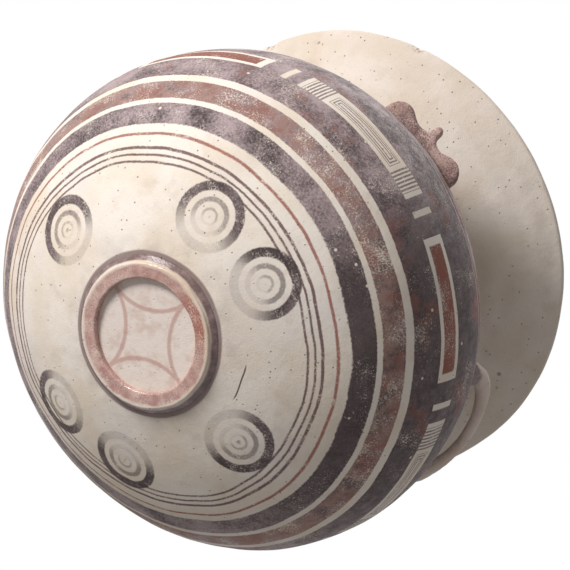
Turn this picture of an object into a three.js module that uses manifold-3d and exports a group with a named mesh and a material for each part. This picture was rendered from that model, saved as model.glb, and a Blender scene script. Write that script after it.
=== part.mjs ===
// Funnel-mouthed olla: a coil-built storage vessel in fired clay with a round belly, a low ring
// foot, a wide funnel mouth, two loop handles and two horned lugs on the shoulder.
// Millimetres and degrees, +Z up, the vessel's axis on Z, the foot's resting face at z = 0.
// The first loop handle faces +X and the first lug faces -Y.

import * as THREE from 'three';
import { mergeVertices } from 'three/addons/utils/BufferGeometryUtils.js';
import Module from 'manifold-3d';

const wasm = await Module();
wasm.setup();

// Walls and joints
const WALL = 7;               // thickness of the coil-built wall
const FLOOR = 8;              // thickness of the floor inside the foot
const JOINT_GAP = 0.3;        // clearance at every luted joint

// Foot
const FOOT_RADIUS = 57.5;     // outer edge of the resting face
const FOOT_RING_WIDTH = 12.5; // from the hollow to the outer edge
const FOOT_SPREAD = 5;        // how far the foot spreads up to the bowl
const FOOT_HEIGHT = 6.7;      // where the foot's outside meets the bowl
const FOOT_EDGE = 1.6;        // worn rounding of the resting face's edges
const RECESS_DEPTH = 5;       // height of the hollow inside the ring

// Belly, from the foot up: a flat arc, then a rounder one to the widest level
const BELLY_RADIUS = 200;
const BASE_ARC = 272;
const LOWER_ARC = 110;
const LOWER_TURN = 32;        // slope where the two arcs meet
const BELLY_UPRIGHT = 7;      // short upright stretch at the widest level

// Shoulder, from the widest level up: two arcs to the neck
const SHOULDER_ARC = 145;
const SHOULDER_TURN = 32;     // turned by the first arc
const NECK_ARC = 119;
const NECK_TURN = 75;         // turned when the neck is reached
const SEAM_RISE = 53.5;       // from the widest level to the joint of bowl and shoulder

// Funnel mouth
const FUNNEL_WALL = 7;
const FUNNEL_RISE = 73;       // from the neck joint to the top of the lip
const NECK_FILLET = 9;        // round of the corner between shoulder and funnel
const RIM_RADIUS = 193.2;     // outermost edge of the lip

// Loop handles
const LOOP_AZIMUTHS = [-4, 176];
const LOOP_HALF_SPAN = 54;
const LOOP_REACH = 20;        // from the shoulder to the middle of the bar
const LOOP_TILT = 46;         // above level
const LOOP_RISE = 25.5;       // of the roots above the joint of bowl and shoulder
const LOOP_BAR = 4.3;         // half thickness of the bar at mid span
const LOOP_ROOT = 11.5;       // half thickness where it spreads on to the shoulder

// Horned lugs
const LUG_AZIMUTHS = [275.5, 95.5];
const LUG_HALF_SPAN = 28.5;   // from the middle to the centre of an ear
const LUG_EAR = 13.5;         // radius of an ear
const LUG_BEAK = 22;          // reach of the middle point
const LUG_TIP = 3.6;          // radius of the middle point's end
const LUG_DIP = 8.5;          // reach left between the ears and the point
const LUG_TILT = 40;          // above level
const LUG_RISE = 26.5;        // above the joint of bowl and shoulder
const LUG_THICKNESS = 11;
const LUG_ROUND = 2;          // rounding of the lug's edges

// Hand-formed unevenness: share of the radius, and the azimuth of the widest place
const BELLY_OVAL = { share: 0.0165, azimuth: 9, lobes: 2 };
const BELLY_TREFOIL = { share: 0.0043, azimuth: 12.3, lobes: 3 };
const RIM_OVAL = { share: 0.0045, azimuth: -28.3, lobes: 2 };
const RIM_TREFOIL = { share: 0.0054, azimuth: -27.4, lobes: 3 };
const UNEVENNESS_START = 21;  // height over which it grows above the foot

// Fineness of the round faces
const TURN_STEPS = 72;
const ARC_STEPS = 4;
const BAR_STEPS = 22;
const BAR_SIDES = 12;
const MERGE_DISTANCE = 1e-4;

const { degToRad: rad, radToDeg: deg, smoothstep } = THREE.MathUtils;
const point = (r, z) => new THREE.Vector2(r, z);

// The spot at a radius and angle from a centre in the profile plane
function around(centre, radius, angle) {
  return point(centre.x + radius * Math.cos(rad(angle)), centre.y + radius * Math.sin(rad(angle)));
}

// Points of an arc about a centre in the profile plane
function arc(centre, radius, fromAngle, toAngle, steps = ARC_STEPS) {
  const step = (toAngle - fromAngle) / steps;
  return Array.from({ length: steps + 1 }, (_, i) => around(centre, radius, fromAngle + i * step));
}

// Foot radii
const recessRadius = FOOT_RADIUS - FOOT_RING_WIDTH;
const joinRadius = FOOT_RADIUS + FOOT_SPREAD;

// Arc centres of the belly and shoulder, stacked up from the foot
const lowerCentreRadius = BELLY_RADIUS - LOWER_ARC;
const baseCentreRadius = lowerCentreRadius + (LOWER_ARC - BASE_ARC) * Math.sin(rad(LOWER_TURN));
const baseRise = Math.sqrt(BASE_ARC ** 2 - (joinRadius - baseCentreRadius) ** 2);
const baseCentre = point(baseCentreRadius, FOOT_HEIGHT + baseRise);
const bellyLevel = baseCentre.y + (LOWER_ARC - BASE_ARC) * Math.cos(rad(LOWER_TURN));
const lowerCentre = point(lowerCentreRadius, bellyLevel);
const shoulderCentre = point(BELLY_RADIUS - SHOULDER_ARC, bellyLevel + BELLY_UPRIGHT);
const neckCentre = around(shoulderCentre, SHOULDER_ARC - NECK_ARC, SHOULDER_TURN);

// Joints: foot to bowl, bowl to shoulder, and the cut across the wall where the funnel starts
const joinAngle = deg(Math.atan2(-baseRise, joinRadius - baseCentre.x));
const seamAngle = deg(Math.asin((SEAM_RISE - BELLY_UPRIGHT) / SHOULDER_ARC));
const seamLevel = bellyLevel + SEAM_RISE;
const shoulderStart = seamAngle + deg(JOINT_GAP / SHOULDER_ARC);
const neckOuter = around(neckCentre, NECK_ARC, NECK_TURN);
const neckInner = around(neckCentre, NECK_ARC - WALL, NECK_TURN);
const neckLevel = neckOuter.y;
const rimLevel = neckLevel + FUNNEL_RISE;

// One skin of the lower wall, from an angle on the base arc up to the widest level
function lowerSkin(inset, startAngle) {
  return [
    ...arc(baseCentre, BASE_ARC - inset, startAngle, LOWER_TURN - 90),
    ...arc(lowerCentre, LOWER_ARC - inset, LOWER_TURN - 90, 0, 2 * ARC_STEPS).slice(1),
  ];
}

// One skin of the upper wall, from the joint with the bowl to the neck
function upperSkin(inset) {
  return [
    ...arc(shoulderCentre, SHOULDER_ARC - inset, shoulderStart, SHOULDER_TURN),
    ...arc(neckCentre, NECK_ARC - inset, SHOULDER_TURN, NECK_TURN).slice(1),
  ];
}

// The clay's unevenness grows from nothing at the foot to the belly's, and changes to the rim's
function unevenness(azimuth, z) {
  const wave = ({ share, azimuth: widest, lobes }) => share * Math.cos(lobes * (azimuth - rad(widest)));
  const belly = smoothstep(z, FOOT_HEIGHT, FOOT_HEIGHT + UNEVENNESS_START);
  const rim = smoothstep(z, neckLevel, rimLevel);
  const bellyShare = belly * (1 - rim) * (wave(BELLY_OVAL) + wave(BELLY_TREFOIL));
  return bellyShare + rim * (wave(RIM_OVAL) + wave(RIM_TREFOIL));
}

// The bare surface of a geometry, with its shared corners merged
function bareSurface(geometry) {
  geometry.deleteAttribute('normal');
  geometry.deleteAttribute('uv');
  return mergeVertices(geometry, MERGE_DISTANCE);
}

// Moves every corner in or out from the axis by the clay's unevenness
function handFormed(geometry) {
  const formed = bareSurface(geometry);
  const position = formed.getAttribute('position');
  for (let i = 0; i < position.count; i += 1) {
    const azimuth = Math.atan2(position.getY(i), position.getX(i));
    const scale = 1 + unevenness(azimuth, position.getZ(i));
    position.setXY(i, position.getX(i) * scale, position.getY(i) * scale);
  }
  formed.computeVertexNormals();
  return formed;
}

// A body turned about Z from a profile that starts and ends on the axis or closes on itself
function turned(profile) {
  return new THREE.LatheGeometry(profile, TURN_STEPS).rotateX(Math.PI / 2);
}

// A ring turned about Z
function turnedRing(profile) {
  return turned([...profile, profile[0].clone()]);
}

function toSolid(geometry) {
  const surface = bareSurface(geometry);
  return new wasm.Manifold(new wasm.Mesh({
    numProp: 3,
    vertProperties: new Float32Array(surface.getAttribute('position').array),
    triVerts: new Uint32Array(surface.index.array),
  }));
}

function fromSolid(solid) {
  const mesh = solid.getMesh();
  const geometry = new THREE.BufferGeometry();
  geometry.setAttribute('position', new THREE.BufferAttribute(new Float32Array(mesh.vertProperties), 3));
  geometry.setIndex(new THREE.BufferAttribute(new Uint32Array(mesh.triVerts), 1));
  return geometry;
}

// Ring foot: a flat worn resting face, a flared outside and a low hollow inside
function footRing() {
  const corner = FOOT_EDGE * (1 - Math.SQRT1_2);
  return turnedRing([
    point(recessRadius, RECESS_DEPTH - JOINT_GAP),
    point(recessRadius, FOOT_EDGE),
    point(recessRadius + corner, corner),
    point(recessRadius + FOOT_EDGE, 0),
    point(FOOT_RADIUS - FOOT_EDGE, 0),
    point(FOOT_RADIUS - corner, corner),
    point(FOOT_RADIUS, FOOT_EDGE),
    point(FOOT_RADIUS + FOOT_SPREAD / 2, FOOT_HEIGHT / 2),
    point(joinRadius, FOOT_HEIGHT - JOINT_GAP),
  ]);
}

// Bowl: floor and lower wall in one, up to the joint where the shoulder was luted on
function bellyBowl() {
  const floorLevel = RECESS_DEPTH + FLOOR;
  const floorAngle = deg(Math.asin((floorLevel - baseCentre.y) / (BASE_ARC - WALL)));
  const skin = (inset, startAngle) => [
    ...lowerSkin(inset, startAngle),
    ...arc(shoulderCentre, SHOULDER_ARC - inset, 0, seamAngle),
  ];
  return turned([
    point(0, RECESS_DEPTH),
    point(recessRadius, RECESS_DEPTH),
    ...skin(0, joinAngle),
    ...skin(WALL, floorAngle).reverse(),
    point(0, floorLevel),
  ]);
}

// Shoulder: the closing wall above the joint, up to the neck
function shoulderWall() {
  return turnedRing([...upperSkin(0), ...upperSkin(WALL).reverse()]);
}

// Funnel: a rounded neck that turns out into a wide straight cone with a rounded lip
function funnelMouth() {
  const gap = around(point(0, 0), JOINT_GAP, NECK_TURN + 90);
  const start = neckOuter.clone().add(gap);
  const startInner = neckInner.clone().add(gap);
  const fillet = point(start.x + NECK_FILLET, start.y);
  const half = FUNNEL_WALL / 2;
  const lip = point(RIM_RADIUS - half, rimLevel - half);
  const span = lip.clone().sub(fillet);
  const coneNormal = deg(span.angle() + Math.acos((NECK_FILLET + half) / span.length()));
  const cone = (side) => {
    const foot = around(fillet, NECK_FILLET + half + side * half, coneNormal);
    const top = around(lip, side * half, coneNormal);
    return [1, 2].map((i) => foot.clone().lerp(top, i / 3));
  };
  return turnedRing([
    ...arc(fillet, NECK_FILLET, 180, coneNormal, ARC_STEPS - 1),
    ...cone(-1),
    ...arc(lip, half, coneNormal - 180, coneNormal, 2 * ARC_STEPS),
    ...cone(1).reverse(),
    ...arc(fillet, NECK_FILLET + FUNNEL_WALL, coneNormal, 180, ARC_STEPS - 1),
    startInner,
  ]);
}

// Everything inside the shoulder's outer skin, with the luting gap added
function shoulderEnvelope() {
  return toSolid(turned([
    point(0, seamLevel),
    ...upperSkin(-JOINT_GAP),
    point(0, neckLevel + JOINT_GAP),
  ]));
}

// Radius of the shoulder's outer skin at a height
function shoulderRadius(z) {
  const onFirstArc = z < around(shoulderCentre, SHOULDER_ARC, SHOULDER_TURN).y;
  const centre = onFirstArc ? shoulderCentre : neckCentre;
  const radius = onFirstArc ? SHOULDER_ARC : NECK_ARC;
  return centre.x + Math.sqrt(radius ** 2 - (z - centre.y) ** 2);
}

// What stays of a solid outside the shoulder, where it is luted on
function lutedOn(geometry) {
  return fromSolid(toSolid(geometry).subtract(shoulderEnvelope()));
}

// A closed bar with a round section whose half thickness changes along its curve
function taperedBar(curve, thicknessAt) {
  const frames = curve.computeFrenetFrames(BAR_STEPS, false);
  const positions = [];
  const index = [];
  for (let i = 0; i <= BAR_STEPS; i += 1) {
    const centre = curve.getPointAt(i / BAR_STEPS);
    const thickness = thicknessAt(i / BAR_STEPS);
    for (let j = 0; j < BAR_SIDES; j += 1) {
      const angle = (2 * Math.PI * j) / BAR_SIDES;
      const spot = centre.clone()
        .addScaledVector(frames.normals[i], thickness * Math.cos(angle))
        .addScaledVector(frames.binormals[i], thickness * Math.sin(angle));
      positions.push(spot.x, spot.y, spot.z);
    }
  }
  for (let i = 0; i < BAR_STEPS; i += 1) {
    for (let j = 0; j < BAR_SIDES; j += 1) {
      const a = i * BAR_SIDES + j;
      const b = i * BAR_SIDES + ((j + 1) % BAR_SIDES);
      index.push(a, b, a + BAR_SIDES, b, b + BAR_SIDES, a + BAR_SIDES);
    }
  }
  const last = BAR_STEPS * BAR_SIDES;
  for (let j = 1; j < BAR_SIDES - 1; j += 1) {
    index.push(0, j + 1, j, last, last + j, last + j + 1);
  }
  const geometry = new THREE.BufferGeometry();
  geometry.setAttribute('position', new THREE.Float32BufferAttribute(positions, 3));
  geometry.setIndex(index);
  return geometry;
}

// Loop handle: a rolled bar pressed on to the shoulder at two spread roots, arched up and out
function loopHandle(azimuth) {
  const level = seamLevel + LOOP_RISE;
  const base = shoulderRadius(level) - LOOP_BAR;
  const spots = [];
  for (let i = 0; i <= BAR_STEPS; i += 1) {
    const turn = (Math.PI * i) / BAR_STEPS;
    const reach = (LOOP_REACH + LOOP_BAR) * Math.sin(turn) ** 0.6;
    const radius = base + reach * Math.cos(rad(LOOP_TILT));
    const spread = rad(azimuth) - (LOOP_HALF_SPAN * Math.cos(turn)) / base;
    const height = level + reach * Math.sin(rad(LOOP_TILT));
    spots.push(new THREE.Vector3(radius * Math.cos(spread), radius * Math.sin(spread), height));
  }
  const swell = (share) => Math.abs(2 * share - 1) ** 3;
  const thicknessAt = (share) => LOOP_BAR + (LOOP_ROOT - LOOP_BAR) * swell(share);
  return lutedOn(taperedBar(new THREE.CatmullRomCurve3(spots), thicknessAt));
}

// Outline of a lug in its own plane: two round ears with a point between them
function lugOutline() {
  const dip = LUG_HALF_SPAN - LUG_EAR * 1.15;
  const half = new THREE.Path();
  half.moveTo(LUG_HALF_SPAN + LUG_EAR, -LUG_EAR);
  half.lineTo(LUG_HALF_SPAN + LUG_EAR, 0);
  half.absarc(LUG_HALF_SPAN, 0, LUG_EAR, 0, rad(120), false);
  half.quadraticCurveTo(dip + LUG_TIP, LUG_DIP, dip, LUG_DIP);
  half.quadraticCurveTo(LUG_TIP, LUG_DIP, LUG_TIP, LUG_BEAK - LUG_TIP);
  half.absarc(0, LUG_BEAK - LUG_TIP, LUG_TIP, 0, rad(90), false);
  const right = half.getPoints(ARC_STEPS);
  const left = right.slice(0, -1).map((spot) => point(-spot.x, spot.y)).reverse();
  return new THREE.Shape([...right, ...left]);
}

// Lug: a thick tongue of clay with two ears and a point, standing up and out from the shoulder
function hornedLug(azimuth) {
  const level = seamLevel + LUG_RISE;
  const depth = LUG_THICKNESS - 2 * LUG_ROUND;
  const geometry = new THREE.ExtrudeGeometry(lugOutline(), {
    depth,
    bevelThickness: LUG_ROUND,
    bevelSize: LUG_ROUND,
    bevelOffset: -LUG_ROUND,
    bevelSegments: 2,
  });
  const along = new THREE.Vector3(0, 1, 0);
  const out = new THREE.Vector3(Math.cos(rad(LUG_TILT)), 0, Math.sin(rad(LUG_TILT)));
  const face = new THREE.Vector3().crossVectors(along, out);
  geometry.translate(0, 0, -depth / 2);
  geometry.applyMatrix4(new THREE.Matrix4().makeBasis(along, out, face));
  geometry.translate(shoulderRadius(level), 0, level);
  geometry.rotateZ(rad(azimuth));
  return lutedOn(geometry);
}

const olla = new THREE.Group();

function addPiece(name, geometry, color) {
  const material = new THREE.MeshStandardMaterial({ color, roughness: 0.85, metalness: 0 });
  const mesh = new THREE.Mesh(handFormed(geometry), material);
  mesh.name = name;
  olla.add(mesh);
}

addPiece('foot_ring', footRing(), 0xa9817a);
addPiece('belly_bowl', bellyBowl(), 0xd9cbbd);
addPiece('shoulder_wall', shoulderWall(), 0x6f6064);
addPiece('funnel_mouth', funnelMouth(), 0xd8cabb);
LOOP_AZIMUTHS.forEach((azimuth, i) => {
  addPiece(`loop_handle_${i + 1}`, loopHandle(azimuth), 0xcfc3bd);
});
LUG_AZIMUTHS.forEach((azimuth, i) => {
  addPiece(`horned_lug_${i + 1}`, hornedLug(azimuth), 0x7d6a69);
});

export default olla;
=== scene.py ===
import math
import bpy
from mathutils import Matrix, Vector, noise


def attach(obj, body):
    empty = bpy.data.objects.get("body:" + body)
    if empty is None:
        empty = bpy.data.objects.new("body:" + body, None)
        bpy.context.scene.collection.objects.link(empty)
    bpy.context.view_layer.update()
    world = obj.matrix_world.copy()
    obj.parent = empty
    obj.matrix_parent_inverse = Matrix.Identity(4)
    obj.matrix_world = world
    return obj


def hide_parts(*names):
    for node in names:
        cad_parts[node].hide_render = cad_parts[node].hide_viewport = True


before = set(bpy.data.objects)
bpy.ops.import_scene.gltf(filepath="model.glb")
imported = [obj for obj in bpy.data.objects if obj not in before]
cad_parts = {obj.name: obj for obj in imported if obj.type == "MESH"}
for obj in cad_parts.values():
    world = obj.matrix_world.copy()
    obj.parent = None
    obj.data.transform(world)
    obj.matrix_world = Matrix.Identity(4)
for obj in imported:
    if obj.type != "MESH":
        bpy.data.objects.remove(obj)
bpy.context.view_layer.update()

# Foot ring.
# A low ring of the same buff clay, luted under the bowl while it was leather hard. Its resting face
# is rubbed pale on the outside and still carries a red-brown ring of matt paint on the inside.
MM = 0.001
FOOT_RADIUS, FOOT_RING_WIDTH, FOOT_SPREAD = 57.5, 12.5, 5
FOOT_HEIGHT, FOOT_EDGE, RECESS_DEPTH = 6.7, 1.6, 5
SUNK_IN = 0.4
TURN_STEPS = 240
ARC_STEP, STRAIGHT_STEP, SAME_SPOT = 1.5, 3.0, 0.02

# Unevenness of the whole pot: share of the radius, azimuth of the widest place and number of lobes
BELLY_LOBES = ((0.0165, 9, 2), (0.0043, 12.3, 3))
RIM_LOBES = ((0.0045, -28.3, 2), (0.0054, -27.4, 3))
UNEVENNESS_START, NECK_LEVEL, RIM_LEVEL = 21, 270.7, 343.7
SMALLER_MARKS = (0.35, 0.31)


def around(centre, radius, angle):
    turn = math.radians(angle)
    return centre[0] + radius * math.cos(turn), centre[1] + radius * math.sin(turn)


def arc(centre, radius, start, end, step=ARC_STEP):
    steps = max(1, round(abs(end - start) / step))
    return [around(centre, radius, start + (end - start) * i / steps) for i in range(steps + 1)]


def straight(start, end, step=STRAIGHT_STEP):
    steps = max(1, round(math.dist(start, end) / step))
    return [tuple(a + (b - a) * i / steps for a, b in zip(start, end)) for i in range(steps + 1)]


def joined(*runs):
    line = []
    for run in runs:
        line += [spot for spot in run if not line or math.dist(spot, line[-1]) > SAME_SPOT]
    return line


def smooth(value, low, high):
    share = min(1, max(0, (value - low) / (high - low)))
    return share * share * (3 - 2 * share)


def unevenness(azimuth, z):
    """How far out of round the pot is at a spot, as a share of its radius."""
    def waves(lobes):
        return sum(
            share * math.cos(count * (azimuth - math.radians(widest)))
            for share, widest, count in lobes)
    belly = smooth(z, FOOT_HEIGHT, FOOT_HEIGHT + UNEVENNESS_START)
    rim = smooth(z, NECK_LEVEL, RIM_LEVEL)
    return belly * (1 - rim) * waves(BELLY_LOBES) + rim * waves(RIM_LOBES)


def hand_marks(spot, depth, size):
    """How far a potter's hand left the clay proud or hollow at a spot, in mm."""
    less_deep, less_wide = SMALLER_MARKS
    finer = less_deep * depth * noise.noise(spot / (less_wide * size))
    return depth * noise.noise(spot / size) + finer


def turned(name, profile, marks, inner_from=None, closed=True, shaped=None):
    """A body turned about the axis from a profile in mm, marked by hand, with its inside as slot 2."""
    spots, rings = [], []
    for r, z in profile:
        if r < SAME_SPOT:
            rings.append([len(spots)])
            spots.append(Vector((0, 0, z)) * MM)
            continue
        rings.append(list(range(len(spots), len(spots) + TURN_STEPS)))
        for i in range(TURN_STEPS):
            azimuth = 2 * math.pi * i / TURN_STEPS
            radius, level = r * (1 + unevenness(azimuth, z)), z
            if shaped:
                radius, level = shaped(azimuth, radius, z)
            out = Vector((math.cos(azimuth), math.sin(azimuth), 0))
            spot = Vector((radius * math.cos(azimuth), radius * math.sin(azimuth), level))
            spots.append((spot + out * hand_marks(spot, *marks)) * MM)
    faces, inside = [], []
    pairs = len(rings) if closed else len(rings) - 1
    for k in range(pairs):
        low, high = rings[k], rings[(k + 1) % len(rings)]
        if len(low) == 1 and len(high) == 1:
            continue
        for i in range(TURN_STEPS):
            j = (i + 1) % TURN_STEPS
            if len(low) == 1:
                faces.append((low[0], high[j], high[i]))
            elif len(high) == 1:
                faces.append((low[i], low[j], high[0]))
            else:
                faces.append((low[i], low[j], high[j], high[i]))
            inside.append(inner_from is not None and k >= inner_from)
    mesh = bpy.data.meshes.new(name)
    mesh.from_pydata(spots, [], faces)
    mesh.update()
    for face, hidden in zip(mesh.polygons, inside):
        face.use_smooth = True
        face.material_index = 1 if hidden else 0
    piece = bpy.data.objects.new(name, mesh)
    bpy.context.scene.collection.objects.link(piece)
    return piece


def tint(red, green, blue):
    """A colour given as it looks, 0 to 255, turned into the linear values that shaders take."""
    def linear(value):
        value /= 255
        return value / 12.92 if value <= 0.04045 else ((value + 0.055) / 1.055) ** 2.4
    return linear(red), linear(green), linear(blue), 1.0


class Finish:
    """One fired-clay finish. Lengths are in mm and colours are blended from the bare clay outwards."""

    def __init__(self, name):
        self.material = bpy.data.materials.new(name)
        self.material.use_nodes = True
        self.tree = self.material.node_tree
        self.shader = self.tree.nodes["Principled BSDF"]
        scaled = self.add("ShaderNodeVectorMath", operation="SCALE")
        scaled.inputs["Scale"].default_value = 1 / MM
        self.feed(scaled.inputs[0], self.add("ShaderNodeTexCoord").outputs["Object"])
        self.place = scaled.outputs[0]
        split = self.add("ShaderNodeSeparateXYZ")
        self.feed(split.inputs[0], self.place)
        self.x, self.y, self.z = split.outputs

    def add(self, kind, **settings):
        node = self.tree.nodes.new(kind)
        for setting, value in settings.items():
            setattr(node, setting, value)
        return node

    def feed(self, socket, value):
        if isinstance(value, bpy.types.NodeSocket):
            self.tree.links.new(value, socket)
        else:
            socket.default_value = value

    def calc(self, operation, *values):
        node = self.add("ShaderNodeMath", operation=operation)
        for socket, value in zip(node.inputs, values):
            self.feed(socket, value)
        return node.outputs[0]

    def plus(self, value, more):
        return self.calc("ADD", value, more)

    def minus(self, value, less):
        return self.calc("SUBTRACT", value, less)

    def invert(self, value):
        return self.minus(1, value)

    def product(self, *values):
        total = values[0]
        for value in values[1:]:
            total = self.calc("MULTIPLY", total, value)
        return total

    def any_of(self, *values):
        total = values[0]
        for value in values[1:]:
            total = self.calc("MAXIMUM", total, value)
        return total

    def from_axis(self):
        return self.calc("SQRT", self.plus(self.calc("POWER", self.x, 2), self.calc("POWER", self.y, 2)))

    def rise(self, value, low, high, top=1.0):
        """0 below low, top above high, and smooth between them."""
        node = self.add("ShaderNodeMapRange", interpolation_type="SMOOTHSTEP")
        for socket, given in zip(node.inputs, (value, low, high, 0.0, top)):
            self.feed(socket, given)
        return node.outputs[0]

    def band(self, value, low, high, soft=0.5):
        """1 between low and high, with edges as soft as given."""
        up = self.rise(value, low - soft, low + soft)
        return self.product(up, self.invert(self.rise(value, high - soft, high + soft)))

    def moved_by(self, seed, step):
        moved = self.add("ShaderNodeVectorMath", operation="ADD")
        self.feed(moved.inputs[0], self.place)
        moved.inputs[1].default_value = [seed * length for length in step]
        return moved.outputs[0]

    def grain(self, size, detail=2, seed=0, rough=0.55):
        """Cloudy variation from 0 to 1 with patches of about the size given."""
        node = self.add("ShaderNodeTexNoise")
        self.feed(node.inputs["Vector"], self.moved_by(seed, (137, 71, 29)))
        for socket, value in (("Scale", 1 / size), ("Detail", detail), ("Roughness", rough)):
            node.inputs[socket].default_value = value
        return node.outputs[0]

    def sway(self, size, detail, seed, width, rough=0.55):
        """A wandering shift, half of the width to either side."""
        return self.calc("MULTIPLY_ADD", self.grain(size, detail, seed, rough), width, -width / 2)

    def pits(self, size, reach, seed=0):
        """1 in small scattered round pits, 0 elsewhere."""
        node = self.add("ShaderNodeTexVoronoi")
        self.feed(node.inputs["Vector"], self.moved_by(seed, (53, 97, 11)))
        node.inputs["Scale"].default_value = 1 / size
        return self.invert(self.rise(node.outputs["Distance"], 0.6 * reach, reach))

    def away(self, spot):
        """Distance from a fixed spot."""
        node = self.add("ShaderNodeVectorMath", operation="DISTANCE")
        self.feed(node.inputs[0], self.place)
        node.inputs[1].default_value = spot
        return node.outputs["Value"]

    def towards(self, azimuth, at):
        """1 at an azimuth, 0 a quarter turn from it and -1 opposite it."""
        return self.calc("COSINE", self.calc("RADIANS", self.minus(azimuth, at)))

    def blend(self, share, under, over):
        node = self.add("ShaderNodeMix", data_type="RGBA")
        for socket, value in ((0, share), (6, under), (7, over)):
            self.feed(node.inputs[socket], value)
        return node.outputs[2]

    def matt(self, most=0.9):
        """Roughness of rubbed, unglazed clay."""
        return self.minus(most, self.product(self.grain(5, 3, 43), 0.15))

    def painted_matt(self, most, cover, drop):
        """Roughness of clay under matt paint, which polishes a little where it is handled."""
        return self.minus(most, self.product(cover, self.rise(self.grain(6, 3, 42), 0.3, 0.7), drop))

    def fired(self, colour, roughness, height, depth):
        """Ends the finish: its colour, its roughness, and relief of the depth given."""
        self.feed(self.shader.inputs["Base Color"], colour)
        self.feed(self.shader.inputs["Roughness"], roughness)
        self.shader.inputs["Specular IOR Level"].default_value = 0.3
        bump = self.add("ShaderNodeBump")
        bump.inputs["Strength"].default_value = 1.0
        bump.inputs["Distance"].default_value = depth * MM
        self.feed(bump.inputs["Height"], height)
        self.feed(self.shader.inputs["Normal"], bump.outputs[0])
        return self.material


SPECK_BROWN, PIT_BROWN = tint(150, 128, 112), tint(92, 74, 66)
# The pale lilac over the dark paint is partly real bloom and partly painted sheen
PAINT_DARK, PAINT_BLOOM_AND_SHEEN = tint(60, 47, 48), tint(160, 141, 141)
PAINT_RED, PAINT_BROWN = tint(128, 84, 74), tint(142, 112, 104)


def bare_clay(f, pale, warm, stain):
    """Buff clay: cloudy between two buffs, with soft stains, fine dark specks and open pits."""
    colour = f.blend(f.rise(f.grain(55, 3, 1), 0.38, 0.66), pale, warm)
    colour = f.blend(f.rise(f.grain(24, 4, 2, 0.65), 0.52, 0.78, 0.55), colour, stain)
    colour = f.blend(f.rise(f.grain(1.6, 3, 3, 0.7), 0.60, 0.74, 0.42), colour, SPECK_BROWN)
    return f.blend(f.product(f.pits(7, 0.10, 4), 0.75), colour, PIT_BROWN)


def clay_relief(f):
    """Fine sandy grain, slight wiping marks and open pits."""
    rough = f.calc("MULTIPLY_ADD", f.grain(1.1, 3, 5, 0.6), 0.6, f.grain(9, 2, 6))
    return f.minus(rough, f.pits(7, 0.12, 4))


def worn_hold(f, size, low, high, seed):
    """Where matt paint still holds on the clay: patchy, with fine rubbed specks."""
    patches = f.product(f.grain(size, 4, seed + 1, 0.6), 0.45)
    return f.rise(f.calc("MULTIPLY_ADD", f.grain(1.3, 3, seed, 0.7), 0.55, patches), low, high)


def dark_paint(f, bloom_sheen_low, bloom_sheen_high, seed):
    """Manganese-brown matt paint with a pale lilac bloom over it, partly real bloom and partly painted
    sheen.
    """
    patches = f.product(f.grain(30, 3, seed + 1), 0.5)
    cloud = f.calc("MULTIPLY_ADD", f.grain(2.0, 4, seed, 0.75), 0.5, patches)
    return f.blend(f.rise(cloud, bloom_sheen_low, bloom_sheen_high), PAINT_DARK, PAINT_BLOOM_AND_SHEEN)


hollow = FOOT_RADIUS - FOOT_RING_WIDTH
foot = turned("foot_ring", joined(
    straight((hollow, RECESS_DEPTH + SUNK_IN), (hollow, FOOT_EDGE), 1),
    arc((hollow + FOOT_EDGE, FOOT_EDGE), FOOT_EDGE, 180, 270, 15),
    straight((hollow + FOOT_EDGE, 0), (FOOT_RADIUS - FOOT_EDGE, 0), 1),
    arc((FOOT_RADIUS - FOOT_EDGE, FOOT_EDGE), FOOT_EDGE, -90, -10, 15),
    straight((FOOT_RADIUS, FOOT_EDGE + 0.3), (FOOT_RADIUS + FOOT_SPREAD, FOOT_HEIGHT), 1),
    [(FOOT_RADIUS + FOOT_SPREAD, FOOT_HEIGHT + SUNK_IN)],
), marks=(0.5, 22))

FOOT_PAINT = (42, 54.5)
FOOT_RED_SPOT, FOOT_RED_REACH = (27, -47, 0), (30, 12)

finish = Finish("foot_clay")
radius = finish.from_axis()
edge = finish.sway(14, 3, 8, 5)
clay = bare_clay(finish, tint(214, 198, 184), tint(206, 184, 164), tint(176, 150, 140))
ring_paint = finish.band(finish.plus(radius, edge), *FOOT_PAINT, 1.2)
red_spot = finish.rise(finish.away(FOOT_RED_SPOT), *FOOT_RED_REACH, 0.8)
red = finish.rise(finish.grain(9, 3, 9), 0.35, 0.65)
red = finish.blend(red, tint(162, 120, 113), tint(188, 150, 141))
red = finish.blend(red_spot, red, tint(148, 78, 62))
colour = finish.blend(finish.product(ring_paint, worn_hold(finish, 16, 0.34, 0.52, 10), 0.95), clay, red)
outer_wall = finish.rise(radius, FOOT_RADIUS - 0.6, FOOT_RADIUS)
wall_paint = finish.rise(finish.plus(finish.z, finish.product(edge, 0.4)), 2.0, 3.6, 0.9)
dark = finish.blend(finish.rise(finish.grain(8, 4, 12), 0.4, 0.7), tint(84, 60, 62), tint(130, 104, 104))
colour = finish.blend(finish.product(wall_paint, outer_wall), colour, dark)
roughness = finish.rise(finish.grain(5, 2, 7), 0.2, 1.6)
foot.data.materials.append(finish.fired(colour, roughness, clay_relief(finish), 0.35))
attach(foot, "root")
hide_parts("foot_ring")

# Belly bowl.
# The floor and lower wall, raised from coils of buff clay and smoothed by hand, so it is slightly
# out of round. Painted before firing in matt brown and red: circles, lines, bands and a frieze.
WALL, FLOOR = 7, 8
BELLY_RADIUS, BASE_ARC, LOWER_ARC, LOWER_TURN, BELLY_UPRIGHT = 200, 272, 110, 32, 7
SHOULDER_ARC, SHOULDER_TURN, NECK_ARC, NECK_TURN, SEAM_RISE = 145, 32, 119, 75, 53.5
BASE_STEP, DISC_STEP = 0.8, 5
WALL_MARKS = (0.7, 48)

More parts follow.
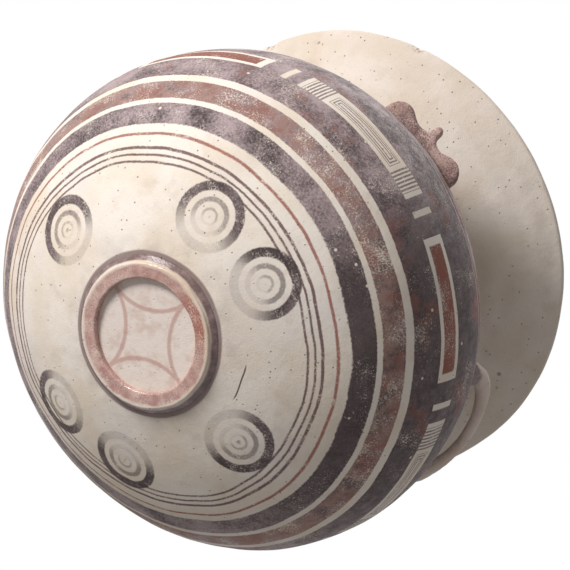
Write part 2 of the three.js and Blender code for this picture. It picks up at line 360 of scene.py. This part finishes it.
base_radius = BELLY_RADIUS - LOWER_ARC + (LOWER_ARC - BASE_ARC) * math.sin(math.radians(LOWER_TURN))
base_rise = math.sqrt(BASE_ARC ** 2 - (FOOT_RADIUS + FOOT_SPREAD - base_radius) ** 2)
base_centre = (base_radius, FOOT_HEIGHT + base_rise)
belly_level = base_centre[1] + (LOWER_ARC - BASE_ARC) * math.cos(math.radians(LOWER_TURN))
lower_centre = (BELLY_RADIUS - LOWER_ARC, belly_level)
shoulder_centre = (BELLY_RADIUS - SHOULDER_ARC, belly_level + BELLY_UPRIGHT)
neck_centre = around(shoulder_centre, SHOULDER_ARC - NECK_ARC, SHOULDER_TURN)
seam_angle = math.degrees(math.asin((SEAM_RISE - BELLY_UPRIGHT) / SHOULDER_ARC))
seam_level = belly_level + SEAM_RISE
floor_level = RECESS_DEPTH + FLOOR
floor_angle = math.degrees(math.asin((floor_level - base_centre[1]) / (BASE_ARC - WALL)))
join_angle = math.degrees(math.atan2(-base_rise, FOOT_RADIUS + FOOT_SPREAD - base_radius))


def bowl_skin(inset, start):
    return joined(
        arc(base_centre, BASE_ARC - inset, start, LOWER_TURN - 90, BASE_STEP),
        arc(lower_centre, LOWER_ARC - inset, LOWER_TURN - 90, 0),
        arc(shoulder_centre, SHOULDER_ARC - inset, 0, seam_angle),
    )


outside = joined(straight((0, RECESS_DEPTH), (hollow, RECESS_DEPTH), DISC_STEP), bowl_skin(0, join_angle))
floor_line = straight((hollow, floor_level), (0, floor_level), DISC_STEP)
inside = joined(bowl_skin(WALL, floor_angle)[::-1], floor_line)
bowl = turned("belly_bowl", outside + inside, WALL_MARKS, inner_from=len(outside) - 1, closed=False)

# Circles: azimuth, distance from the axis and height of each centre, then the inside, outside and
# strength of each ring, and the edge of the dot in the middle
CIRCLES = (
    (8, 107, 18.3), (68, 116, 22.6), (104, 121, 25),
    (181, 109, 19.2), (257, 106, 17.8), (294, 107, 18.3),
)
CIRCLE_RINGS = ((20.6, 28.0, 1.0), (11.8, 15.8, 0.66), (5.4, 7.3, 0.5))
CIRCLE_DOT = (2.8, 1.6)

# Lines and bands: heights, and the azimuth towards which the thin lines climb
THIN_LINES = ((31.48, 32.32), (34.08, 34.92), (36.6, 37.8))
RED_LINE, LOW_BAND, MIDDLE_BAND, HIGH_BAND_START = (42.4, 43.6), (47.4, 59.7), (63.3, 79.2), (85.3, 86.1)
LINES_CLIMB, LINES_CLIMB_AT, CLIMB_ENDS = 2.6, 112, (40, 52)

# Frieze: heights in mm, half widths in degrees either side of each panel's middle
FRIEZE, PANEL_HALF, RED_HALF, DASH = (112.4, 137.2), 18.6, 16.5, (21.85, 23.35)
LADDER, LADDER_PITCH = (11.4, 17.4), 0.93
MAZE_HALF, MAZE_PITCH, MAZE_LOW, MAZE_HIGH = 36.0, 2.75, 116.6, 131.8
RED_LOW, RED_HIGH = 4.2, 4.6
QUARTER = 90
MM_PER_DEGREE = 2 * math.pi * BELLY_RADIUS / 360
TO_DEGREES = 180 / math.pi

finish = Finish("painted_clay")
azimuth = finish.product(finish.calc("ARCTAN2", finish.y, finish.x), TO_DEGREES)
radius = finish.from_axis()
clay = bare_clay(finish, tint(222, 211, 200), tint(214, 199, 182), tint(192, 174, 158))
clay = finish.blend(finish.rise(finish.grain(80, 2, 20), 0.5, 0.75, 0.5), clay, tint(206, 197, 193))

# The brush wavered: slowly round the pot, and finely along every edge
sway = finish.sway(60, 2, 21, 5.0)
fray = finish.sway(2.5, 3, 22, 1.4, 0.7)
climbing = finish.invert(finish.rise(finish.z, *CLIMB_ENDS))
climb = finish.product(finish.towards(azimuth, LINES_CLIMB_AT), LINES_CLIMB, climbing)
level = finish.minus(finish.plus(finish.z, finish.product(sway, 0.5)), climb)
edge_level = finish.plus(level, fray)
fine_level = finish.plus(level, finish.product(fray, 0.45))

lines = finish.any_of(*(finish.band(fine_level, low, high, 0.25) for low, high in THIN_LINES))
red_line = finish.band(fine_level, *RED_LINE, 0.3)
low_band = finish.band(edge_level, *LOW_BAND, 0.35)
middle_band = finish.band(edge_level, *MIDDLE_BAND, 0.35)
high_band = finish.rise(edge_level, *HIGH_BAND_START)

# Circles: the nearest centre wins, and the paint thins towards the foot
nearest, reach = None, None
for at, far, up in CIRCLES:
    gap = finish.away((*around((0, 0), far, at), up))
    out = finish.minus(radius, far)
    if nearest is None:
        nearest, reach = gap, out
        continue
    closer = finish.calc("LESS_THAN", gap, nearest)
    reach = finish.calc("MULTIPLY_ADD", out, closer, finish.product(reach, finish.invert(closer)))
    nearest = finish.calc("MINIMUM", nearest, gap)
drawn = finish.plus(nearest, finish.product(fray, 1.2))
outward = finish.calc("DIVIDE", reach, finish.any_of(nearest, 1))
heavy = finish.rise(finish.plus(outward, finish.product(sway, 0.08)), -0.75, 0.15)
rings = [finish.rise(drawn, *CIRCLE_DOT, 0.55)]
for low, high, strength in CIRCLE_RINGS:
    weight = finish.calc("MULTIPLY_ADD", heavy, 0.78 * strength, 0.20 * strength)
    rings.append(finish.product(finish.band(drawn, low, high, 0.7), weight))
circles = finish.any_of(*rings)

# Frieze in the high band: four mazes between ladders, four red panels, and single dashes
half_quarter = QUARTER / 2
turned_by = finish.calc("FLOORED_MODULO", finish.plus(azimuth, half_quarter), QUARTER)
across = finish.plus(finish.minus(turned_by, half_quarter), finish.product(fray, 0.18))
half = finish.calc("ABSOLUTE", across)
in_frieze = finish.band(fine_level, *FRIEZE, 0.35)
panel = finish.invert(finish.rise(half, PANEL_HALF - 0.1, PANEL_HALF + 0.1))
red_panel_side = half_quarter - RED_HALF
red_panel = finish.rise(half, red_panel_side - 0.1, red_panel_side + 0.1)
reserved = finish.product(in_frieze, finish.any_of(panel, finish.band(half, *DASH, 0.12), red_panel))
stroke = finish.calc("PINGPONG", finish.minus(half, LADDER[0]), LADDER_PITCH / 2)
ladder = finish.product(finish.rise(stroke, 0.17, 0.29), finish.band(half, *LADDER, 0.1))
from_side = finish.minus(MAZE_HALF, finish.product(half, MM_PER_DEGREE))
from_edge = finish.calc("MINIMUM", finish.minus(fine_level, MAZE_LOW), finish.minus(MAZE_HIGH, fine_level))
inset = finish.calc("MINIMUM", from_side, from_edge)
nested = finish.invert(finish.rise(finish.calc("PINGPONG", inset, MAZE_PITCH / 2), 0.48, 0.78))
doorway = finish.product(finish.rise(from_side, 14, 14.4), finish.band(from_edge, 3.4, 4.8, 0.2))
maze = finish.product(nested, finish.rise(inset, -0.1, 0.1), finish.invert(doorway))
drawing = finish.product(in_frieze, panel, finish.any_of(ladder, maze))
red_heights = finish.band(edge_level, FRIEZE[0] + RED_LOW, FRIEZE[1] - RED_HIGH, 0.5)
red_fill = finish.product(finish.rise(finish.minus(half, red_panel_side), 1.7, 2.1), red_heights)

# The paints: bloom and painted sheen, weaker on the shaded lower right, and red where the brown thinned
LESS_SHEEN_SIDE = -25
less_painted_sheen = finish.rise(finish.towards(azimuth, LESS_SHEEN_SIDE), 0.55, 0.92, 0.85)
dark = finish.blend(less_painted_sheen, dark_paint(finish, 0.36, 0.62, 23), dark_paint(finish, 0.54, 0.88, 25))
reds = finish.rise(finish.grain(34, 4, 27, 0.65), 0.54, 0.66, 0.5)
high_paint = finish.blend(reds, dark, PAINT_RED)
middle_paint = finish.blend(finish.rise(finish.grain(15, 4, 28, 0.7), 0.42, 0.64, 0.8), PAINT_BROWN, dark)
middle_reds = finish.rise(finish.grain(22, 3, 29, 0.65), 0.50, 0.62, 0.7)
middle_paint = finish.blend(middle_reds, middle_paint, PAINT_RED)
hold = worn_hold(finish, 30, 0.30, 0.46, 30)
thin_hold = worn_hold(finish, 12, 0.33, 0.48, 32)
speckled = worn_hold(finish, 26, 0.33, 0.50, 34)

# Laying the paint on the clay
circle_paint = dark_paint(finish, 0.42, 0.85, 38)
open_high = finish.product(high_band, finish.invert(reserved))
high_cover, low_cover = finish.product(open_high, hold), finish.product(low_band, hold)
middle_cover = finish.product(middle_band, speckled)
pale_line = finish.band(level, seam_level - 2.6, seam_level - 1.2, 0.4)
colour = finish.blend(finish.product(lines, thin_hold, 0.92), clay, tint(96, 68, 70))
colour = finish.blend(finish.product(red_line, thin_hold, 0.9), colour, tint(142, 84, 72))
colour = finish.blend(finish.product(circles, worn_hold(finish, 12, 0.30, 0.5, 36)), colour, circle_paint)
colour = finish.blend(low_cover, colour, dark)
colour = finish.blend(middle_cover, colour, middle_paint)
colour = finish.blend(high_cover, colour, high_paint)
colour = finish.blend(finish.product(drawing, finish.rise(thin_hold, 0, 1, 0.85)), colour, tint(104, 82, 84))
colour = finish.blend(finish.product(in_frieze, red_fill, speckled), colour, tint(126, 78, 66))
colour = finish.blend(finish.product(pale_line, 0.7), colour, tint(196, 180, 170))

# Under the foot: a pale disc with four faint red arcs bowed inwards
ARC_AZIMUTH, ARC_AWAY, ARC_BOW = 56, 68, (46.6, 50.0)
arcs = []
for k in range(4):
    bow = finish.away((*around((0, 0), ARC_AWAY, ARC_AZIMUTH + QUARTER * k), RECESS_DEPTH))
    arcs.append(finish.band(finish.plus(bow, fray), *ARC_BOW, 1.0))
under_foot = finish.rise(radius, hollow + 1, hollow - 1)
disc = finish.rise(finish.grain(10, 4, 40), 0.45, 0.7, 0.6)
colour = finish.blend(under_foot, colour, finish.blend(disc, tint(218, 204, 194), tint(196, 170, 158)))
colour = finish.blend(finish.product(under_foot, finish.any_of(*arcs), 0.6), colour, tint(172, 122, 112))

# Round the foot: a halo of paint on the wall, and the wall greyed in patches close to the foot
HALO, GREY_NEAR_FOOT_REACH = (58, 65.5), (88, 62)
halo = finish.band(finish.plus(radius, finish.product(sway, 0.7)), *HALO, 0.9)
on_wall = finish.rise(finish.z, 5.4, 6.4)
colour = finish.blend(finish.product(halo, on_wall, 0.8), colour, tint(104, 78, 78))
grey_patches = finish.rise(finish.grain(20, 4, 41), 0.35, 0.7)
greying_near_foot = finish.product(finish.rise(radius, *GREY_NEAR_FOOT_REACH), on_wall, grey_patches)
colour = finish.blend(finish.product(greying_near_foot, 0.35), colour, tint(150, 136, 132))

# Damage: a hairline crack, one deep pit, and small chips in the paint
CRACK_RADIUS, CRACK_AZIMUTHS, PIT_SPOT = 85, (-28, -9), (71, -186, 115)
crack_line = finish.plus(finish.minus(radius, CRACK_RADIUS), finish.product(sway, 1.6))
crack_line = finish.rise(finish.calc("ABSOLUTE", crack_line), 0.8, 0.25)
crack = finish.product(crack_line, finish.band(azimuth, *CRACK_AZIMUTHS, 2), finish.rise(finish.z, 5.5, 6.5))
scar = finish.any_of(crack, finish.rise(finish.away(PIT_SPOT), 3.2, 1.6))
colour = finish.blend(finish.product(scar, 0.85), colour, tint(70, 50, 46))
chips = finish.product(finish.pits(26, 0.06, 9), finish.rise(finish.z, 44, 50))
colour = finish.blend(chips, colour, tint(214, 198, 180))

painted = finish.any_of(high_cover, low_cover, middle_cover)
height = finish.calc("MULTIPLY_ADD", painted, 0.12, clay_relief(finish))
height = finish.minus(height, finish.product(scar, 1.5))
bowl.data.materials.append(finish.fired(colour, finish.painted_matt(0.82, painted, 0.22), height, 0.35))

finish = Finish("inner_clay")
surface = bare_clay(finish, tint(206, 190, 172), tint(190, 168, 146), tint(160, 138, 122))
inner_clay = finish.fired(surface, finish.matt(), clay_relief(finish), 0.4)
bowl.data.materials.append(inner_clay)
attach(bowl, "root")
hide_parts("belly_bowl")

# Shoulder wall.
# The closing wall above the widest level, built on with more coils and drawn in to the neck. It has
# the same brown matt paint as the high band, thin and lilac with bloom and painted sheen, and thin reserved
# lines.
RESERVED_LINES = ((200.5, 201.6), (243, 244.4), (250, 251.4), (257, 258.4))
UNPAINTED_NECK = (263, 264)


def shoulder_skin(inset):
    return joined(
        arc(shoulder_centre, SHOULDER_ARC - inset, seam_angle, SHOULDER_TURN),
        arc(neck_centre, NECK_ARC - inset, SHOULDER_TURN, NECK_TURN),
    )


outer_skin = shoulder_skin(0)
shoulder_line = outer_skin + shoulder_skin(WALL)[::-1]
shoulder = turned("shoulder_wall", shoulder_line, WALL_MARKS, inner_from=len(outer_skin) - 1)

finish = Finish("dark_wash")
wander = finish.plus(finish.sway(60, 2, 21, 2.5), finish.sway(2.5, 3, 22, 0.8, 0.7))
level = finish.plus(finish.z, wander)
clay = bare_clay(finish, tint(218, 204, 190), tint(206, 188, 168), tint(188, 168, 152))
wash = dark_paint(finish, 0.34, 0.60, 50)
wash = finish.blend(finish.rise(finish.grain(34, 4, 27, 0.65), 0.53, 0.64, 0.6), wash, PAINT_RED)
bare = [finish.band(level, low, high, 0.3) for low, high in RESERVED_LINES]
bare = finish.product(finish.any_of(*bare, finish.rise(level, *UNPAINTED_NECK)), 0.9)
cover = finish.product(worn_hold(finish, 30, 0.28, 0.46, 52), finish.invert(bare))
colour = finish.blend(cover, clay, wash)
height = finish.calc("MULTIPLY_ADD", cover, 0.12, clay_relief(finish))
shoulder.data.materials.append(finish.fired(colour, finish.painted_matt(0.84, cover, 0.18), height, 0.35))
shoulder.data.materials.append(inner_clay)
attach(shoulder, "root")
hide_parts("shoulder_wall")

# Funnel mouth.
# A wide cone of buff clay set on the neck, thinned between the fingers towards a rounded lip, which
# is chipped in places. Its underside is plain; its upper face has brown bands round the lip.
FUNNEL_WALL, FUNNEL_RISE, NECK_FILLET, RIM_RADIUS = 7, 73, 9, 193.2
FILLET_STEP, LIP_STEP, LIP_TURN = 6, 12, 60
FINGER_RING_DEPTH, FINGER_RING_PITCH, FINGER_RINGS_FROM = 0.28, 2.6, (110, 130)
LIP_DEPTH = (9, 1)
FUNNEL_MARKS = (0.6, 40)
TOP_BANDS = ((178, 188.5), (170.5, 172), (166, 167.5), (104, 112))

# Chips in the lip: azimuth, width and depth
LIP_CHIPS = ((248.3, 4.5, 1.4), (205, 4.0, 1.8), (96, 3.5, 1.6), (140, 2.5, 1.2))

neck_outer = around(neck_centre, NECK_ARC, NECK_TURN)
neck_inner = around(neck_centre, NECK_ARC - WALL, NECK_TURN)
rim_level = neck_outer[1] + FUNNEL_RISE
fillet = (neck_outer[0] + NECK_FILLET, neck_outer[1])
half_wall = FUNNEL_WALL / 2
lip = (RIM_RADIUS - half_wall, rim_level - half_wall)
lean = math.atan2(lip[1] - fillet[1], lip[0] - fillet[0])
normal = math.degrees(lean + math.acos((NECK_FILLET + half_wall) / math.dist(lip, fillet)))
under_face = joined(
    [around(neck_outer, SUNK_IN, NECK_TURN - 90)],
    arc(fillet, NECK_FILLET, 180, normal, FILLET_STEP),
    straight(around(fillet, NECK_FILLET, normal), around(lip, half_wall, normal - 180)),
    arc(lip, half_wall, normal - 180, normal - LIP_TURN, LIP_STEP),
)
upper_face = joined(
    arc(lip, half_wall, normal - LIP_TURN, normal, LIP_STEP),
    straight(around(lip, half_wall, normal), around(fillet, NECK_FILLET + FUNNEL_WALL, normal)),
    arc(fillet, NECK_FILLET + FUNNEL_WALL, normal, 180, FILLET_STEP),
    [around(neck_inner, SUNK_IN, NECK_TURN - 90)],
)


def finger_marks(azimuth, radius, z):
    """Shallow rings left by the fingers on the funnel, and chips broken from its lip."""
    wave = math.sin(radius / FINGER_RING_PITCH + 1.4 * math.sin(2 * azimuth))
    ring = FINGER_RING_DEPTH * wave * smooth(radius, *FINGER_RINGS_FROM)
    bite = 0.0
    for at, wide, deep in LIP_CHIPS:
        apart = abs((math.degrees(azimuth) - at + 180) % 360 - 180) * math.radians(1) * RIM_RADIUS
        bite = max(bite, deep * (1 - smooth(apart, 0.3 * wide, wide)))
    return radius - bite * smooth(radius, RIM_RADIUS - LIP_DEPTH[0], RIM_RADIUS - LIP_DEPTH[1]), z + ring


funnel_line = joined(under_face, upper_face)
funnel = turned("funnel_mouth", funnel_line, FUNNEL_MARKS, inner_from=len(under_face), shaped=finger_marks)

finish = Finish("plain_clay")
clay = bare_clay(finish, tint(212, 200, 189), tint(205, 190, 174), tint(188, 170, 153))
clay = finish.blend(finish.rise(finish.grain(70, 3, 60), 0.46, 0.7, 0.6), clay, tint(196, 180, 162))
scrapes = finish.product(finish.pits(38, 0.07, 61), finish.rise(finish.grain(5, 2, 62), 0.45, 0.6), 0.7)
colour = finish.blend(scrapes, clay, tint(128, 96, 74))
broken = []
for at, wide, _ in LIP_CHIPS:
    broken.append(finish.rise(finish.away((*around((0, 0), RIM_RADIUS, at), lip[1])), wide + 3, wide))
broken = finish.product(finish.any_of(*broken), finish.rise(finish.grain(3, 3, 63), 0.4, 0.55), 0.7)
colour = finish.blend(broken, colour, tint(134, 104, 84))
relief = finish.calc("MULTIPLY_ADD", finish.grain(14, 3, 64), 1.2, clay_relief(finish))
funnel.data.materials.append(finish.fired(colour, finish.matt(), relief, 0.4))

finish = Finish("funnel_top")
drawn = finish.plus(finish.from_axis(), finish.sway(3, 3, 22, 2.4, 0.7))
clay = bare_clay(finish, tint(222, 208, 192), tint(214, 196, 174), tint(196, 176, 154))
bands = finish.any_of(*(finish.band(drawn, low, high, 0.5) for low, high in TOP_BANDS))
cover = finish.product(bands, worn_hold(finish, 26, 0.32, 0.48, 66))
colour = finish.blend(cover, clay, dark_paint(finish, 0.42, 0.7, 68))
roughness = finish.minus(0.88, finish.product(cover, 0.2))
funnel.data.materials.append(finish.fired(colour, roughness, clay_relief(finish), 0.4))
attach(funnel, "root")
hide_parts("funnel_mouth")

# Loop handles.
# Two rolled bars of clay, bent into low arches and pressed on to the shoulder with the thumbs. They
# are pale and plain, with brown paint on their roots.
CLAY_FINENESS = 0.9
PRESSED_IN = 0.9
SMOOTHED_PROUD = 0.25
FINGER_MARKS = (0.4, 9)
ROOT_PAINT = (216, 220)
HANDLE_RUBS, LUG_RUBS = 8, 10


def pressed_on(node, rubs):
    """The node's solid with its edges rubbed round and finger-marked, pressed against the shoulder."""
    draft = bpy.data.objects.new(node + "_draft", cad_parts[node].data.copy())
    bpy.context.scene.collection.objects.link(draft)
    remesh = draft.modifiers.new("remesh", "REMESH")
    remesh.mode = "VOXEL"
    remesh.voxel_size = CLAY_FINENESS * MM
    rub = draft.modifiers.new("rub", "SMOOTH")
    rub.factor = 0.5
    rub.iterations = rubs
    drawn = draft.evaluated_get(bpy.context.evaluated_depsgraph_get())
    mesh = bpy.data.meshes.new_from_object(drawn)
    mesh.materials.clear()
    piece = bpy.data.objects.new(node, mesh)
    bpy.context.scene.collection.objects.link(piece)
    bpy.data.objects.remove(draft)
    for vertex, out in zip(mesh.vertices, [vertex.normal.copy() for vertex in mesh.vertices]):
        spot = vertex.co / MM
        proud = SMOOTHED_PROUD + hand_marks(spot, *FINGER_MARKS)
        towards_axis = Vector((spot.x, spot.y, 0)).normalized() * -PRESSED_IN
        vertex.co = (spot + out * proud + towards_axis) * MM
    for face in mesh.polygons:
        face.use_smooth = True
    return piece


finish = Finish("handle_clay")
clay = bare_clay(finish, tint(214, 198, 188), tint(202, 182, 168), tint(178, 156, 146))
height = finish.plus(finish.z, finish.product(finish.grain(5, 3, 70), 5))
low = finish.invert(finish.rise(height, *ROOT_PAINT))
rooted = finish.product(low, worn_hold(finish, 10, 0.3, 0.46, 73), 0.85)
colour = finish.blend(rooted, clay, dark_paint(finish, 0.36, 0.7, 71))
handle_clay = finish.fired(colour, finish.matt(0.86), clay_relief(finish), 0.4)
for number in (1, 2):
    handle = pressed_on(f"loop_handle_{number}", HANDLE_RUBS)
    handle.data.materials.append(handle_clay)
    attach(handle, "root")
    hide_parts(f"loop_handle_{number}")

# Horned lugs.
# Two thick tongues of clay, each cut to a point between two round ears, standing from the shoulder.
# Thin brown paint covers them, rubbed through to pinkish clay in patches.
finish = Finish("lug_clay")
clay = bare_clay(finish, tint(206, 178, 168), tint(192, 160, 148), tint(166, 134, 124))
wash = finish.rise(finish.grain(16, 4, 80, 0.6), 0.40, 0.66)
wash = finish.blend(wash, tint(108, 84, 82), tint(150, 122, 114))
colour = finish.blend(worn_hold(finish, 16, 0.34, 0.56, 81), clay, wash)
lug_clay = finish.fired(colour, finish.matt(0.86), clay_relief(finish), 0.45)
for number in (1, 2):
    lug = pressed_on(f"horned_lug_{number}", LUG_RUBS)
    lug.data.materials.append(lug_clay)
    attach(lug, "root")
    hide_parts(f"horned_lug_{number}")

# Floor.
# A pale floor under the foot. It shows only from above, because the picture looks up at the pot
# from under it, and it lets light through.
FLOOR_COLOUR, FLOOR_HALF = (0.86, 0.86, 0.86, 1), 6

corners = [(x * FLOOR_HALF, y * FLOOR_HALF, 0) for x, y in ((-1, -1), (1, -1), (1, 1), (-1, 1))]
floor_mesh = bpy.data.meshes.new("floor")
floor_mesh.from_pydata(corners, [], [(0, 1, 2, 3)])
floor = bpy.data.objects.new("floor", floor_mesh)
bpy.context.scene.collection.objects.link(floor)

finish = Finish("floor")
finish.shader.inputs["Base Color"].default_value = FLOOR_COLOUR
finish.shader.inputs["Roughness"].default_value = 0.9
seen = finish.add("ShaderNodeLightPath").outputs["Is Camera Ray"]
from_above = finish.invert(finish.add("ShaderNodeNewGeometry").outputs["Backfacing"])
choice = finish.add("ShaderNodeMixShader")
finish.feed(choice.inputs[0], finish.product(seen, from_above))
finish.feed(choice.inputs[1], finish.add("ShaderNodeBsdfTransparent").outputs[0])
finish.feed(choice.inputs[2], finish.shader.outputs[0])
finish.feed(finish.tree.nodes["Material Output"].inputs["Surface"], choice.outputs[0])
floor.data.materials.append(finish.material)

# Surroundings.
# White where they are looked at or reflected. The light that they give is dim and even, so that the
# lamps show the pot's form.
SURROUND = 0.33

world = bpy.data.worlds.new("surroundings")
bpy.context.scene.world = world
world.use_nodes = True
tree = world.node_tree
background = tree.nodes["Background"]
background.inputs["Color"].default_value = (1, 1, 1, 1)
path = tree.nodes.new("ShaderNodeLightPath")
white = path.outputs["Is Camera Ray"]
for ray in ("Is Glossy Ray", "Is Transmission Ray"):
    either = tree.nodes.new("ShaderNodeMath")
    either.operation = "MAXIMUM"
    tree.links.new(white, either.inputs[0])
    tree.links.new(path.outputs[ray], either.inputs[1])
    white = either.outputs[0]
strength = tree.nodes.new("ShaderNodeMapRange")
strength.inputs["To Min"].default_value = SURROUND
strength.inputs["To Max"].default_value = 1.0
tree.links.new(white, strength.inputs["Value"])
tree.links.new(strength.outputs[0], background.inputs["Strength"])

# Camera.
# It looks up at the pot from below its foot, as the tilted pot is seen in the picture. The pot's
# axis points away from it, to the right and up.
PICTURE, FOCAL = 570, 3000
AXIS_TILT, AXIS_ROLL, POT_TURN = math.radians(32.09), math.radians(21.13), math.radians(39.5)
FOOT_IN_PICTURE, FOOT_DEPTH = (143.9, 336.1), 2285.6 * MM
SENSOR, FAR_LIMIT = 36, 50

axis_side, axis_away = math.sin(AXIS_TILT), math.cos(AXIS_TILT)
up_axis = Vector((axis_side * math.cos(AXIS_ROLL), -axis_side * math.sin(AXIS_ROLL), axis_away))
first = (Vector((1, 0, 0)) - up_axis.x * up_axis).normalized()
second = up_axis.cross(first)
pot_x = math.cos(POT_TURN) * first + math.sin(POT_TURN) * second
pot_y = math.cos(POT_TURN) * second - math.sin(POT_TURN) * first
foot_place = Vector([(spot - PICTURE / 2) / FOCAL for spot in FOOT_IN_PICTURE] + [1]) * FOOT_DEPTH
to_pot = Matrix((pot_x, pot_y, up_axis))
right, down, ahead = to_pot.transposed()
camera = bpy.data.objects.new("camera", bpy.data.cameras.new("camera"))
camera.data.sensor_width = SENSOR
camera.data.lens = SENSOR * FOCAL / PICTURE
camera.data.clip_end = FAR_LIMIT
turn = Matrix((right, -down, -ahead)).transposed()
camera.matrix_world = Matrix.Translation(-(to_pot @ foot_place)) @ turn.to_4x4()
bpy.context.scene.collection.objects.link(camera)
bpy.context.scene.camera = camera

# Lamps.
# A soft key lamp on the picture's upper left, and a larger one overhead for the views from above.
POT_MIDDLE = Vector((0, 0, 0.17))
KEY_FROM = -0.60 * right - 0.76 * down - 0.52 * ahead
KEY_POWER, KEY_SIZE, KEY_DISTANCE = 70, 0.7, 2.4
TOP_FROM = Vector((-0.35, -0.45, 1))
TOP_POWER, TOP_SIZE, TOP_DISTANCE = 34, 1.6, 2.4


def soft_lamp(name, direction, distance, size, power):
    data = bpy.data.lights.new(name, "AREA")
    data.size = size
    data.energy = power
    lamp = bpy.data.objects.new(name, data)
    lamp.location = POT_MIDDLE + direction.normalized() * distance
    lamp.rotation_euler = direction.to_track_quat("Z", "Y").to_euler()
    bpy.context.scene.collection.objects.link(lamp)


soft_lamp("key", KEY_FROM, KEY_DISTANCE, KEY_SIZE, KEY_POWER)
soft_lamp("top", TOP_FROM, TOP_DISTANCE, TOP_SIZE, TOP_POWER)

bpy.context.scene.view_settings.view_transform = "Standard"
